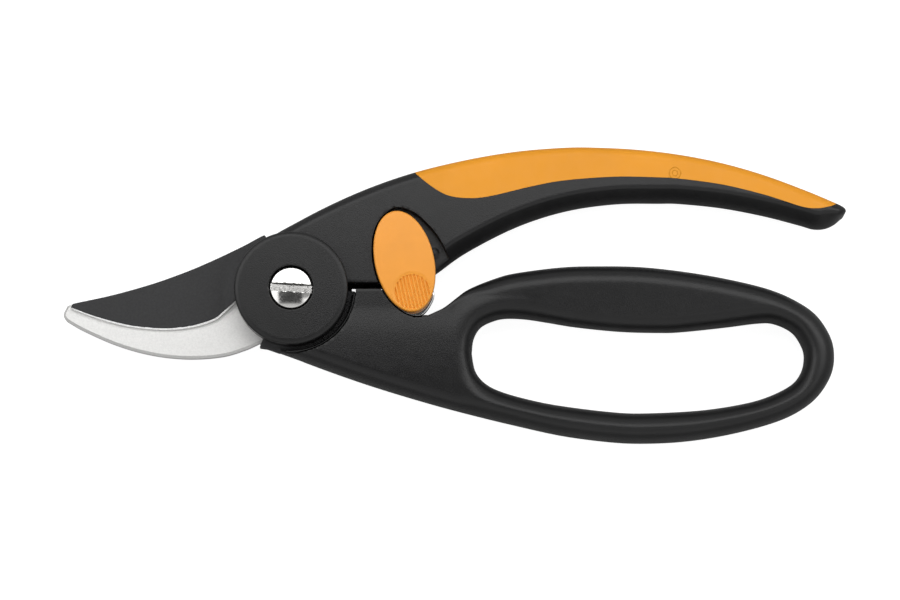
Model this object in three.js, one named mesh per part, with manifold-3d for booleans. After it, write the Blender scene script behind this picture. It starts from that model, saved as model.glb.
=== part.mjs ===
// Fingerloop bypass pruner, closed and locked.
// Millimetres. Origin on the pivot axis in the plane that the pruner rests on, +X towards the
// handle ends, -X towards the blade tips, +Z from the back of the tool to its front.
import * as THREE from 'three';
import { mergeVertices } from 'three/addons/utils/BufferGeometryUtils.js';
import Module from 'manifold-3d';

const wasm = await Module();
wasm.setup();

// ---- driving dimensions ---------------------------------------------------------------------
const GAP = 0.3;                   // clearance between parts that sit in each other
const SLIDE = 0.1;                 // clearance between parts that turn on each other

const BACK_Z = 0;                  // plane that the tool rests on
const FRONT_Z = 12.6;              // front faces of both handles
const MID_Z = (BACK_Z + FRONT_Z) / 2;

// layers at the pivot, back to front
const REAR_CHEEK_TOP_Z = 2.6;
const HOOK_Z = [2.8, 5.8];
const BLADE_Z = [6.0, 8.8];
const FRONT_CHEEK_Z = 9.0;
const CAP_Z = [12.8, 15.0];

const HUB_R = 15.8;                // front cheek, seen as a thin lip round the cap
const REAR_HUB_R = 16.6;
const CAP_R = 15.35;
const CAP_HOLE_R = 6.1;
const CAP_EDGE = 1.0;
const FORK_R = 17.6;               // slot between the cheeks
const LOOP_ARC_R = 17.6;           // hollow of the lower handle round the hub
const HOOK_RELIEF_R = 19.4;        // the same hollow at the level of the hook

const SHANK_R = 3.9;
const THREAD_R = 2.9;
const BUSH_R = [4.0, 5.0];
const HEAD_R = 5.65;
const HEAD_Z = [11.7, 14.2];
const HEAD_DOME = 0.9;
const DRIVE_SLOT = [1.6, 1.7];     // width and depth
const DRIVE_SLOT_LEAN = THREE.MathUtils.degToRad(-3.5);
const SEAT_Z = 11.0;               // where the head's washers sit
const NUT_ACROSS_FLATS = 10;
const NUT_TOP_Z = 2.1;
const HEAD_WASHER_Z = [11.05, 11.6];
const NUT_WASHER_R = 4.9;
const WELL_R = [7.2, 12.9];        // spring well in the front cheek
const WELL_FLOOR_Z = 9.8;
const WIRE_D = 1.2;
const COIL_R = 10.0;
const COIL_TURNS = 1.8;
const COIL_PITCH = 1.32;

// blades
const BLADE_DISC_R = 14.6;         // both blades round the pivot
const SECTOR_R = 17.1;             // shoulder seen between the hub and the lower handle
const JAW_SLOPE = 0.098;           // the cutting jaw thins towards its edge,
const JAW_FULL_Y = 11;             // from here on

// safety lock
const LOCK_PIVOT = new THREE.Vector2(28.4, 17.0);
const OVAL_CENTRE = new THREE.Vector2(30.6, 7.4);
const OVAL_AXES = [8.0, 14.0];
const OVAL_LEAN = THREE.MathUtils.degToRad(12.8);
const RECESS_FLOOR_Z = 9.0;
const PLATE_Z = [9.8, 11.2];
const PLATE_END_R = 4.0;
const BUTTON_Z = [11.5, 14.2];
const BUTTON_EDGE = 0.6;
const THUMB_CENTRE = new THREE.Vector2(32.7, -1.0);
const THUMB_R = 5.15;
const RIB_COUNT = 10;
const RIB_PITCH = 0.97;
const RIB_DEPTH = 0.35;
const LOCK_PIN_R = 1.9;
const LOCK_PIN_HEAD_R = 3.2;
const LOCK_PIN_HEAD = 0.9;
const LOCK_PIN_FOOT_Z = 6.4;
const LOCK_WASHER_R = 3.6;
const CATCH = { x: 29.3, y: -3.2, r: 1.5, z: [4.3, 9.5] };
const DETENT = { x: 38.5, y: 10.3, r: 1.5, height: 0.4 };
const NOTCH_R = 25.3;              // lower handle's edge, concentric with the lock's pivot

// handles
const FLANK_RISE = 3.4;            // how far the finger side slants back at the front and back faces
const CROWN = 2.0;                 // rounding of the upper handle's top edge
const LOOP_PROUD = 0.6;            // the finger loop stands this much above the web
const WEB_BACK_Z = 0.4;
const LOOP_EDGE = [2.4, 3.6];      // rounding of the lower handle's edges: inwards, and along Z
const DOWEL_R = 2.0;
const HOOK_DOWEL_Z = [0.2, 8.0];
const BLADE_DOWEL_Z = [0.6, 11.0];

// ---- colours --------------------------------------------------------------------------------
const FINISH = {
  nylon: { color: 0x353537, roughness: 0.55, metalness: 0 },
  soft_grip: { color: 0xf39a2c, roughness: 0.6, metalness: 0 },
  button_plastic: { color: 0xf99a38, roughness: 0.45, metalness: 0 },
  coated_steel: { color: 0x3b3b3c, roughness: 0.5, metalness: 0.2 },
  satin_steel: { color: 0xd8d8d6, roughness: 0.35, metalness: 1 },
  bright_steel: { color: 0xe2e2e0, roughness: 0.15, metalness: 1 },
  zinc_steel: { color: 0xb9bbbd, roughness: 0.4, metalness: 1 },
  spring_steel: { color: 0x8d8f92, roughness: 0.3, metalness: 1 },
  bronze: { color: 0xa5824d, roughness: 0.4, metalness: 1 },
};

// ---- solids ---------------------------------------------------------------------------------
function solid(geometry) {
  geometry.deleteAttribute('normal');
  geometry.deleteAttribute('uv');
  const merged = mergeVertices(geometry, 1e-3);
  return new wasm.Manifold(new wasm.Mesh({
    numProp: 3,
    vertProperties: merged.attributes.position.array,
    triVerts: new Uint32Array(merged.index.array),
  }));
}

function join(first, ...others) {
  return others.reduce((sum, other) => sum.add(other), first);
}

function cut(body, ...tools) {
  return tools.reduce((rest, tool) => rest.subtract(tool), body);
}

const group = new THREE.Group();

function piece(name, finish, body) {
  const made = body.getMesh();
  const geometry = new THREE.BufferGeometry();
  geometry.setAttribute('position', new THREE.BufferAttribute(made.vertProperties, 3));
  geometry.setIndex(new THREE.BufferAttribute(made.triVerts, 1));
  geometry.computeVertexNormals();
  const mesh = new THREE.Mesh(geometry, new THREE.MeshStandardMaterial(FINISH[finish]));
  mesh.name = name;
  group.add(mesh);
}

// ---- shapes ---------------------------------------------------------------------------------
function points(...pairs) {
  return pairs.map(([x, y]) => new THREE.Vector2(x, y));
}

function shapeOf(outline) {
  return new THREE.Shape(outline);
}

// points along a smooth curve through the given ones, first and last included
function smooth(through, perSpan = 3) {
  return new THREE.SplineCurve(through).getPoints((through.length - 1) * perSpan);
}

function arcPoints(x, y, r, fromDeg, toDeg, count) {
  const from = THREE.MathUtils.degToRad(fromDeg);
  const to = THREE.MathUtils.degToRad(toDeg);
  return new THREE.EllipseCurve(x, y, r, r, from, to, to < from).getPoints(count);
}

function ovalPoints(centre, axes, lean, count) {
  return new THREE.EllipseCurve(centre.x, centre.y, axes[0], axes[1], 0, 2 * Math.PI, false, lean)
    .getPoints(count).slice(0, -1);
}

function prism(outline, [low, high], hole = null) {
  const shape = shapeOf(outline);
  if (hole) shape.holes.push(new THREE.Path(hole));
  const geometry = new THREE.ExtrudeGeometry(shape, { depth: high - low, bevelEnabled: false });
  return solid(geometry.translate(0, 0, low));
}

// a prism whose edges are rounded inwards by edge, over a height of rise
function roundedPrism(outline, [low, high], edge, rise, segments, hole = null) {
  const shape = shapeOf(outline);
  if (hole) shape.holes.push(new THREE.Path(hole));
  const geometry = new THREE.ExtrudeGeometry(shape, {
    depth: high - low - 2 * rise,
    bevelEnabled: true,
    bevelSize: edge,
    bevelOffset: -edge,
    bevelThickness: rise,
    bevelSegments: segments,
  });
  return geometry.translate(0, 0, low + rise);
}

// a turned body from (radius, z) pairs that run from the axis, outwards at the bottom, to the axis
function turned(pairs, segments = 40, x = 0, y = 0) {
  const geometry = new THREE.LatheGeometry(points(...pairs), segments);
  return solid(geometry.rotateX(Math.PI / 2).translate(x, y, 0));
}

function rod(r, low, high, x = 0, y = 0, segments = 40) {
  return turned([[0, low], [r, low], [r, high], [0, high]], segments, x, y);
}

function ring(inner, outer, low, high, segments = 40) {
  const section = [[inner, low], [outer, low], [outer, high], [inner, high], [inner, low]];
  return turned(section, segments);
}

// height of a polyline over x
function heightOver(line) {
  return (x) => {
    const next = line.findIndex((p) => p.x >= x);
    if (next === 0) return line[0].y;
    if (next < 0) return line[line.length - 1].y;
    const [a, b] = [line[next - 1], line[next]];
    return THREE.MathUtils.lerp(a.y, b.y, (x - a.x) / (b.x - a.x));
  };
}

// ---- upper handle and its soft grip -----------------------------------------------------------
const upperTop = smooth(points(
  [-4.2, 15.5], [-1.7, 16.95], [9.4, 22.9], [21, 28.1], [33.4, 32.4], [47.3, 35.8], [60.8, 38.1],
  [74.2, 39.2], [83.2, 39.2], [94.2, 38.6], [105.6, 37.2], [117, 34.9], [128.3, 31.6],
  [139.7, 27.3], [147.4, 24.0],
));
const upperTip = smooth(points([147.4, 24.0], [149.6, 22.9], [150.4, 21.7], [149.4, 20.2]), 2);
const upperFinger = smooth(points(
  [149.4, 20.2], [147.3, 18.4], [144.7, 17.3], [141.6, 17.2], [137.8, 18.3], [128.3, 20.8],
  [117, 23.0], [105.6, 24.2], [99.6, 24.3], [87.6, 24.1], [74.2, 22.1], [60.8, 17.7],
  [47.3, 10.7], [39.2, 4.9], [35.2, 2.4], [31, 1.7],
), 2);
const upperRoot = points([12, 1.7], [0, 0]);

function upperArm() {
  const outline = [
    ...upperTop, ...upperTip.slice(1), ...upperFinger.slice(1), ...upperRoot,
  ];
  const levels = 6;
  const geometry = new THREE.ExtrudeGeometry(shapeOf(outline.reverse()), {
    depth: FRONT_Z - BACK_Z,
    steps: levels,
    bevelEnabled: false,
  });
  const topAt = heightOver(upperTop);
  const fingerAt = heightOver([...upperFinger].reverse());
  const place = geometry.attributes.position;
  for (let i = 0; i < place.count; i += 1) {
    const [x, y] = [place.getX(i), place.getY(i)];
    const off = Math.abs(place.getZ(i) - MID_Z) / (MID_Z - BACK_Z);
    const onTop = Math.abs(y - topAt(x)) < 0.2;
    const onFinger = x > 31 && Math.abs(y - fingerAt(x)) < 0.2;
    const flank = THREE.MathUtils.smoothstep(x, 33, 44) * (1 - THREE.MathUtils.smoothstep(x, 145, 151));
    const crown = THREE.MathUtils.smoothstep(x, 0, 12) * (1 - THREE.MathUtils.smoothstep(x, 140, 147));
    if (onFinger) place.setY(i, y + FLANK_RISE * flank * off);
    else if (onTop) place.setY(i, y - CROWN * crown * off ** 4);
  }
  return solid(geometry.translate(0, 0, BACK_Z));
}

// line between the hard handle and the soft grip, from its front end to its back end
const gripLine = smooth(points(
  [33.4, 33.5], [33.7, 31.6], [38.4, 27.7], [42.9, 25.4], [48.7, 24.8], [54.5, 25.5], [65.3, 28.1],
  [74.2, 29.7], [87.6, 30.7], [99.6, 30.5], [105.6, 30.1], [117, 28.5], [128.3, 25.7],
  [137.8, 22.6], [142, 22.0], [145, 22.4], [147.3, 23.2], [149.5, 25],
), 2);

function shifted(line, dy) {
  return line.map((p) => new THREE.Vector2(p.x, p.y + dy));
}

function aboveLine(line, dy, z) {
  const ends = points([line[line.length - 1].x, 60], [line[0].x, 60]);
  return prism([...shifted(line, dy), ...ends], z);
}

// the hard core that stands up inside the soft grip
function gripCore(grow) {
  const topAt = heightOver(upperTop);
  const bottomAt = heightOver(gripLine);
  const [first, last, count] = [45 - grow, 130 + grow, 18];
  const stations = Array.from({ length: count }, (_, i) => first + (last - first) * i / (count - 1));
  const lower = stations.map((x) => new THREE.Vector2(x, bottomAt(x) - 1.5));
  const upper = stations.map((x) => new THREE.Vector2(x, topAt(x) - 3.2 + grow)).reverse();
  return prism([...lower, ...upper], [3.6 - grow, 9.0 + grow]);
}

const lockRecess = smooth(points(
  [23.9, 1.6], [22.0, 8.0], [21.9, 11.4], [23.2, 17.2], [25.8, 21.0], [29, 22.3], [33.7, 20.6],
  [38.1, 16.4], [40.8, 12.5], [42.5, 9.0], [45.5, 2.0],
), 3);

// steel tang of the hook inside the upper handle
function hookTang(grow) {
  const axis = new THREE.Vector2(0.92, 0.392);
  const side = new THREE.Vector2(-axis.y, axis.x);
  const start = new THREE.Vector2(4, 6);
  const at = (along, across) => start.clone().addScaledVector(axis, along)
    .addScaledVector(side, across);
  const half = 4.6 + grow;
  const end = 36 + grow;
  return [at(0, -half), at(end - 4, -half), at(end, -half + 4), at(end, half - 3),
    at(end - 3, half), at(0, half)];
}

const HOOK_DOWELS = [[20.5, 13.6], [33.5, 18.7]];

function upperHandle(arm) {
  const hub = join(
    rod(HUB_R, FRONT_CHEEK_Z - 1, FRONT_Z, 0, 0, 72),
    rod(REAR_HUB_R, BACK_Z, REAR_CHEEK_TOP_Z, 0, 0, 72),
  );
  const fork = rod(FORK_R, REAR_CHEEK_TOP_Z, FRONT_CHEEK_Z, 0, 0, 72);
  const spring = ring(WELL_R[0], WELL_R[1], WELL_FLOOR_Z, FRONT_Z + 1);
  const nutPocket = hexPrism(NUT_ACROSS_FLATS + 2 * GAP, -1, REAR_CHEEK_TOP_Z + 1);
  const bore = rod(SHANK_R + GAP, -1, FRONT_Z + 1);
  const headSeat = rod(CAP_HOLE_R + GAP, SEAT_Z, FRONT_Z + 1);
  const recess = join(
    prism(lockRecess, [RECESS_FLOOR_Z, FRONT_Z + 1]),
    prism(ovalPoints(OVAL_CENTRE, OVAL_AXES.map((a) => a + 0.5), OVAL_LEAN, 56),
      [RECESS_FLOOR_Z, FRONT_Z + 1]),
  );
  const detent = rod(DETENT.r, RECESS_FLOOR_Z - 1, RECESS_FLOOR_Z + DETENT.height, DETENT.x, DETENT.y, 20);
  const tangPocket = prism(hookTang(GAP), [HOOK_Z[0] - 0.2, HOOK_Z[1] + 0.2]);
  const pinHole = rod(LOCK_PIN_R + GAP, LOCK_PIN_FOOT_Z - GAP, FRONT_Z, LOCK_PIVOT.x, LOCK_PIVOT.y, 24);
  const dowelHoles = HOOK_DOWELS.map(([x, y]) => rod(DOWEL_R + GAP, -1, HOOK_DOWEL_Z[1] + GAP, x, y, 24));
  const notGrip = cut(arm, aboveLine(gripLine, -GAP / 2, [-1, 14]));
  const body = join(notGrip, gripCore(0), hub);
  return join(
    cut(body, fork, spring, nutPocket, bore, headSeat, recess, tangPocket, pinHole, ...dowelHoles),
    detent,
  );
}

function upperGrip(arm) {
  return cut(arm.intersect(aboveLine(gripLine, GAP / 2, [-1, 14])), gripCore(GAP));
}

// ---- pivot ----------------------------------------------------------------------------------
function hexPrism(acrossFlats, low, high) {
  const corners = arcPoints(0, 0, acrossFlats / Math.sqrt(3), 0, 360, 6).slice(0, -1);
  return prism(corners, [low, high]);
}

function hubCap() {
  const [low, high] = CAP_Z;
  const under = low + 0.9;
  const edge = arcPoints(CAP_R - CAP_EDGE, high - CAP_EDGE, CAP_EDGE, 0, 90, 4);
  const section = [
    [CAP_HOLE_R, low], [WELL_R[0] + 1, low], [WELL_R[0] + 1, under], [WELL_R[1], under],
    [WELL_R[1], low], [CAP_R, low], ...edge.map((p) => [p.x, p.y]),
    [CAP_HOLE_R + 0.3, high], [CAP_HOLE_R, high - 0.3], [CAP_HOLE_R, low],
  ];
  return turned(section, 60);
}

function pivotBolt() {
  const [low, high] = HEAD_Z;
  const dome = [];
  for (let i = 0; i <= 5; i += 1) {
    const r = HEAD_R * (1 - i / 5);
    dome.push([r, high + HEAD_DOME * (1 - (r / HEAD_R) ** 2)]);
  }
  const shoulder = REAR_CHEEK_TOP_Z + 0.3;
  const body = turned([
    [0, BACK_Z], [THREAD_R, BACK_Z], [THREAD_R, shoulder], [SHANK_R, shoulder], [SHANK_R, low],
    [HEAD_R, low], ...dome,
  ]);
  const slot = new THREE.BoxGeometry(3 * HEAD_R, DRIVE_SLOT[0], 2 * DRIVE_SLOT[1]);
  slot.rotateZ(DRIVE_SLOT_LEAN).translate(0, 0, high + HEAD_DOME);
  return cut(body, solid(slot));
}

function pivotNut() {
  return cut(hexPrism(NUT_ACROSS_FLATS, BACK_Z, NUT_TOP_Z), rod(THREAD_R + SLIDE, -1, 4));
}

function returnSpring() {
  const base = WELL_FLOOR_Z + WIRE_D / 2 + 0.15;
  const path = [new THREE.Vector3(COIL_R + 3.4, -1.2, base)];
  const steps = Math.round(COIL_TURNS * 20);
  for (let i = 0; i <= steps; i += 1) {
    const turn = i / 20;
    const angle = 2 * Math.PI * turn;
    path.push(new THREE.Vector3(
      COIL_R * Math.cos(angle), COIL_R * Math.sin(angle), base + COIL_PITCH * Math.max(0, turn - 0.1),
    ));
  }
  path[1].x += 0.9;
  const section = arcPoints(0, 0, WIRE_D / 2, 0, 360, 8).slice(0, -1);
  return solid(new THREE.ExtrudeGeometry(shapeOf(section), {
    steps: 2 * steps,
    bevelEnabled: false,
    extrudePath: new THREE.CatmullRomCurve3(path),
  }));
}

function springNotch() {
  const slot = new THREE.BoxGeometry(6, 3.2, 4);
  return solid(slot.translate(WELL_R[1] - 0.5, -0.6, WELL_FLOOR_Z + 2));
}

// ---- hook, the fixed counter blade ------------------------------------------------------------
function hookBlade() {
  const outer = smooth(points(
    [-61.0, -3.7], [-62.0, -5.9], [-61.5, -7.4], [-60.0, -8.5], [-56.4, -10.5], [-48.8, -13.9],
    [-41.3, -16.3], [-33.7, -17.7], [-26.1, -18.1], [-18.5, -17.4], [-12.8, -15.7], [-8.4, -13.8],
  ), 2);
  const inner = smooth(points(
    [-14.0, 2.0], [-17.2, -1.4], [-21.2, -5.0], [-26.1, -6.9], [-31.8, -7.8], [-37.4, -7.8],
    [-45, -6.9], [-52.6, -5.0], [-57.6, -3.6], [-60.0, -3.3],
  ), 2);
  const jaw = prism([...outer, ...points([0, 0]), ...inner], HOOK_Z);
  const disc = rod(BLADE_DISC_R, HOOK_Z[0], HOOK_Z[1], 0, 0, 60);
  const tang = prism(hookTang(0), HOOK_Z);
  const holes = HOOK_DOWELS.map(([x, y]) => rod(DOWEL_R + GAP, 0, 8, x, y, 24));
  return cut(join(jaw, disc, tang), rod(BUSH_R[1] + SLIDE, 0, 10), ...holes);
}

// ---- cutting blade with its tang --------------------------------------------------------------
const bladeTang = points(
  [17.1, -0.9], [21.5, -4.6], [29, -11], [37, -17], [40.5, -20.5], [40.0, -24], [36.4, -25.6],
  [28, -24.4], [17, -21.6], [7.6, -18.2], [2.0, -16.9],
);
const BLADE_DOWELS = [[22.5, -13.2], [34.5, -20.4]];

function tangPocketOf(grow) {
  const centre = new THREE.Vector2(22, -14);
  return bladeTang.map((p) => {
    const away = p.clone().sub(centre);
    return p.clone().add(away.setLength(grow * 1.6));
  });
}

function cuttingBlade() {
  const top = smooth(points(
    [-7.3, 15.2], [-8.4, 14.9], [-14.7, 11.5], [-26.1, 6.3], [-37.4, 2.15], [-48.8, -1.05],
    [-58.4, -3.3], [-59.3, -3.75], [-59.8, -4.5],
  ), 2);
  const edge = smooth(points(
    [-59.8, -4.6], [-52.6, -7.0], [-45, -9.0], [-37.4, -9.9], [-31.8, -9.9], [-26.1, -9.1],
    [-21.2, -7.5], [-18.9, -5.8], [-17, -4.1], [-14.6, -1.6],
  ), 2);
  const flat = prism([...top, ...edge, ...points([0, 0])], BLADE_Z);
  const ground = new THREE.Plane(new THREE.Vector3(0, JAW_SLOPE, -1), BLADE_Z[1] - JAW_SLOPE * JAW_FULL_Y)
    .normalize();
  const jaw = flat.trimByPlane(ground.normal.toArray(), -ground.constant);
  const disc = rod(BLADE_DISC_R, BLADE_Z[0], BLADE_Z[1], 0, 0, 60);
  const sector = prism(
    [new THREE.Vector2(0, 0), ...arcPoints(0, 0, SECTOR_R, -119.5, -4, 24)], BLADE_Z,
  );
  const tang = prism([...bladeTang, new THREE.Vector2(0, -4)].reverse(), BLADE_Z);
  const holes = BLADE_DOWELS.map(([x, y]) => rod(DOWEL_R + GAP, 4, 10, x, y, 24));
  const blunt = join(jaw, disc, sector, tang);
  return cut(blunt, rod(BUSH_R[1] + SLIDE, 0, 10), ...holes);
}

// ---- lower handle with the finger loop --------------------------------------------------------
const loopOutside = smooth(points(
  [36.9, -7.2], [38.9, -6.3], [41.6, -4.9], [45.5, -1.5], [49.4, 1.0], [55.4, 3.6], [61.3, 5.1],
  [73.2, 6.6], [83.1, 6.9], [94.2, 6.7], [105.6, 5.5], [117, 3.6], [128.3, 0.9], [135.9, -2.2],
  [142.0, -6.4], [145.9, -12.4], [146.9, -17.9], [145.8, -23.3], [142.0, -29.0], [136.1, -33.3],
  [128.3, -36.4], [117, -39.2], [105.6, -40.9], [94.2, -41.4], [85.1, -40.9], [73.2, -39.3],
  [61.3, -36.7], [49.4, -33.8], [37.5, -30.6], [23.3, -26.3], [11.9, -22.4], [0.6, -18.2],
  [-3.4, -16.8],
), 2);
const loopInside = smooth(points(
  [48.8, -17.1], [49.3, -13.0], [51.2, -9.7], [54.6, -8.0], [58.1, -7.3], [63.3, -7.5],
  [69.2, -8.4], [77.1, -9.7], [89, -10.9], [99.6, -11.2], [105.6, -11.0], [117, -9.8],
  [126.4, -8.6], [130.8, -8.8], [135.5, -11.1], [138.1, -15.0], [138.7, -18.4], [137.7, -22.4],
  [134.8, -25.8], [128.3, -29.0], [120.7, -31.0], [109.4, -32.6], [94.2, -33.3], [85.1, -32.8],
  [73.2, -31.3], [65.3, -29.8], [57.3, -27.6], [52.6, -25.3], [49.8, -21.9], [48.8, -17.1],
), 2).slice(0, -1);

// room for the button's lower end
const lockNotch = smooth(points(
  [24.1, 1.0], [24.3, -0.3], [25.4, -1.9], [26.5, -3.4], [27.8, -4.8], [29.4, -6.1], [31.3, -7.2],
  [33.5, -7.8], [35.6, -7.7],
), 2);

function lowerHandle() {
  const front = points(
    [-3.4, -12], [8, 0.06], [24.2, 0.06], [24.8, 0.6], [28.5, 0.6], [33, -4], [35.6, -7.0],
  );
  const outline = [...front, ...loopOutside].reverse();
  const geometry = roundedPrism(
    outline, [WEB_BACK_Z, FRONT_Z], LOOP_EDGE[0], LOOP_EDGE[1], 3, [...loopInside],
  );
  const place = geometry.attributes.position;
  const mid = (WEB_BACK_Z + FRONT_Z) / 2;
  const half = mid - WEB_BACK_Z;
  for (let i = 0; i < place.count; i += 1) {
    const onLoop = THREE.MathUtils.smoothstep(place.getX(i), 40, 56);
    const away = (place.getZ(i) - mid) / half;
    const proud = away > 0 ? LOOP_PROUD : WEB_BACK_Z;
    place.setZ(i, place.getZ(i) + away * proud * onLoop);
  }
  const hollow = rod(LOOP_ARC_R, -1, FRONT_Z + 1, 0, 0, 96);
  const relief = rod(HOOK_RELIEF_R, -1, BLADE_Z[0] - 0.1, 0, 0, 96);
  const pocket = prism(tangPocketOf(GAP).reverse(), [BLADE_Z[0] - 0.1, BLADE_Z[1] + 0.2]);
  const notch = rod(NOTCH_R, RECESS_FLOOR_Z, FRONT_Z + 1, LOCK_PIVOT.x, LOCK_PIVOT.y, 96);
  const notchSide = prism([...lockNotch, ...points([35.6, 4], [24.1, 4])], [RECESS_FLOOR_Z, FRONT_Z + 1]);
  const right = prism(points([33, -30], [60, -30], [60, 20], [33, 20]), [-1, FRONT_Z + 2]);
  const dowelHoles = BLADE_DOWELS.map(([x, y]) => rod(DOWEL_R + GAP, -1, BLADE_DOWEL_Z[1] + GAP, x, y, 24));
  const catchHole = rod(CATCH.r + GAP, CATCH.z[0] - GAP, FRONT_Z, CATCH.x, CATCH.y, 20);
  return cut(
    solid(geometry), hollow, relief, pocket, notch.intersect(right), notchSide, ...dowelHoles,
    catchHole,
  );
}

// ---- safety lock --------------------------------------------------------------------------------
function lockButton() {
  const outline = ovalPoints(OVAL_CENTRE, OVAL_AXES, OVAL_LEAN, 56);
  const body = solid(roundedPrism(outline, BUTTON_Z, BUTTON_EDGE, BUTTON_EDGE, 3));
  const grooves = [];
  for (let i = 0; i < RIB_COUNT; i += 1) {
    const across = (i - (RIB_COUNT - 1) / 2) * RIB_PITCH;
    const half = Math.sqrt(Math.max(1, (THUMB_R - 0.4) ** 2 - across ** 2));
    const groove = new THREE.BoxGeometry(RIB_PITCH / 2, 2 * half, 2 * RIB_DEPTH);
    groove.translate(across, 0, BUTTON_Z[1]).rotateZ(OVAL_LEAN);
    grooves.push(solid(groove.translate(THUMB_CENTRE.x, THUMB_CENTRE.y, 0)));
  }
  const pinRoom = rod(LOCK_PIN_HEAD_R + GAP, BUTTON_Z[0] - 1, BUTTON_Z[0] + LOCK_PIN_HEAD + GAP, LOCK_PIVOT.x,
    LOCK_PIVOT.y, 32);
  return cut(body, ...grooves, pinRoom);
}

function lockPlate() {
  const outline = [
    ...smooth(points(
      [27.8, -4.3], [28.2, -4.7], [29.6, -5.8], [31.4, -6.8], [33.3, -7.3], [34.9, -7.3], [36.0, -6.6],
      [37.1, -5.3], [37.9, -3.9], [38.5, -2.5], [38.6, -1.0], [37.9, 1.5], [36.4, 7], [34.4, 14.5],
    ), 2),
    ...arcPoints(LOCK_PIVOT.x, LOCK_PIVOT.y, PLATE_END_R, 0, 180, 10),
    ...smooth(points([24.6, 8], [26.0, 1.5], [27.0, -2.6]), 2),
  ];
  const pinHole = rod(LOCK_PIN_R + SLIDE, 8, 12, LOCK_PIVOT.x, LOCK_PIVOT.y, 32);
  return cut(prism(outline, PLATE_Z), pinHole);
}

function lockPin() {
  const head = BUTTON_Z[0] + LOCK_PIN_HEAD;
  return turned([
    [0, LOCK_PIN_FOOT_Z], [LOCK_PIN_R, LOCK_PIN_FOOT_Z], [LOCK_PIN_R, PLATE_Z[1] + SLIDE],
    [LOCK_PIN_HEAD_R, PLATE_Z[1] + SLIDE], [LOCK_PIN_HEAD_R, head], [0, head],
  ], 32, LOCK_PIVOT.x, LOCK_PIVOT.y);
}

function lockWasher() {
  const washer = ring(LOCK_PIN_R + SLIDE, LOCK_WASHER_R, RECESS_FLOOR_Z + SLIDE, PLATE_Z[0] - SLIDE, 32);
  return washer.translate([LOCK_PIVOT.x, LOCK_PIVOT.y, 0]);
}

// ---- assembly -----------------------------------------------------------------------------------
const arm = upperArm();
piece('upper_handle', 'nylon', cut(upperHandle(arm), springNotch()));
piece('upper_grip', 'soft_grip', upperGrip(arm));
piece('hook_blade', 'satin_steel', hookBlade());
piece('hub_cap', 'nylon', hubCap());
piece('pivot_bolt', 'bright_steel', pivotBolt());
piece('pivot_nut', 'zinc_steel', pivotNut());
piece('pivot_bushing', 'bronze', ring(BUSH_R[0], BUSH_R[1], HOOK_Z[0], FRONT_CHEEK_Z - SLIDE));
piece('head_washer', 'zinc_steel', ring(SHANK_R + SLIDE, HEAD_R - GAP, ...HEAD_WASHER_Z));
piece('nut_washer', 'zinc_steel',
  ring(THREAD_R + SLIDE, NUT_WASHER_R, NUT_TOP_Z + SLIDE, HOOK_Z[0] - SLIDE));
piece('return_spring', 'spring_steel', returnSpring());
HOOK_DOWELS.forEach(([x, y], i) => {
  piece(`hook_dowel_${i + 1}`, 'zinc_steel', rod(DOWEL_R, ...HOOK_DOWEL_Z, x, y, 24));
});
piece('lock_pin', 'zinc_steel', lockPin());
piece('lock_washer', 'spring_steel', lockWasher());

piece('lower_handle', 'nylon', lowerHandle());
piece('cutting_blade', 'coated_steel', cuttingBlade());
BLADE_DOWELS.forEach(([x, y], i) => {
  piece(`blade_dowel_${i + 1}`, 'zinc_steel', rod(DOWEL_R, ...BLADE_DOWEL_Z, x, y, 24));
});
piece('catch_pin', 'zinc_steel', rod(CATCH.r, CATCH.z[0], CATCH.z[1], CATCH.x, CATCH.y, 20));

piece('lock_button', 'button_plastic', lockButton());
piece('lock_plate', 'bright_steel', lockPlate());

export default group;
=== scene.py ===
"""Looks for the fingerloop bypass pruner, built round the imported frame. Outlines are in millimetres."""
import math

import bpy
import numpy as np
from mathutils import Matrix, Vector
from mathutils.geometry import tessellate_polygon


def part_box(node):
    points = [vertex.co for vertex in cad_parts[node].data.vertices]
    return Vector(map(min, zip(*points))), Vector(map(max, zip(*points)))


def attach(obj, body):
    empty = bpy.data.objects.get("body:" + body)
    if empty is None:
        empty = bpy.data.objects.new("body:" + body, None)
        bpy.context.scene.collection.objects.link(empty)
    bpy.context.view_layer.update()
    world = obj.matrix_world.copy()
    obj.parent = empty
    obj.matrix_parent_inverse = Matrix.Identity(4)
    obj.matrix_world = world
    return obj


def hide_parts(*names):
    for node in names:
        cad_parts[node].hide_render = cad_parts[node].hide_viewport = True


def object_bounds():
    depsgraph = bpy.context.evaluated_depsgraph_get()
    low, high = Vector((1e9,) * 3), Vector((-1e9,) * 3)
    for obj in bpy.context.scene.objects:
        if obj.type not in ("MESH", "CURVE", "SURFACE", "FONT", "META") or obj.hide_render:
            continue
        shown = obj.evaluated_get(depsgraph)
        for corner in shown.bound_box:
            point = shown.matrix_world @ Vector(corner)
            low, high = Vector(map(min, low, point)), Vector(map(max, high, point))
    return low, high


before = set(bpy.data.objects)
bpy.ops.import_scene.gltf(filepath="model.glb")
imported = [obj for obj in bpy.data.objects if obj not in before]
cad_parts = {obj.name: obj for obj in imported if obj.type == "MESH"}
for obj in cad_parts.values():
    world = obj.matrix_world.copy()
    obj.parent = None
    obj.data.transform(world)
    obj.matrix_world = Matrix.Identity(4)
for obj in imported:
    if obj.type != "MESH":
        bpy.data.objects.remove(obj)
cad_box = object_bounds()

MM = 0.001
FINE = 0.42          # grid step of the moulded pieces
FINEST = 0.14        # grid step of the small detailed pieces


# ---- sizes taken from the frame -------------------------------------------------------------
def low(node, axis):
    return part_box(node)[0][axis] / MM


def high(node, axis):
    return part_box(node)[1][axis] / MM


def radius(node):
    return (high(node, 0) - low(node, 0)) / 2


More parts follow.
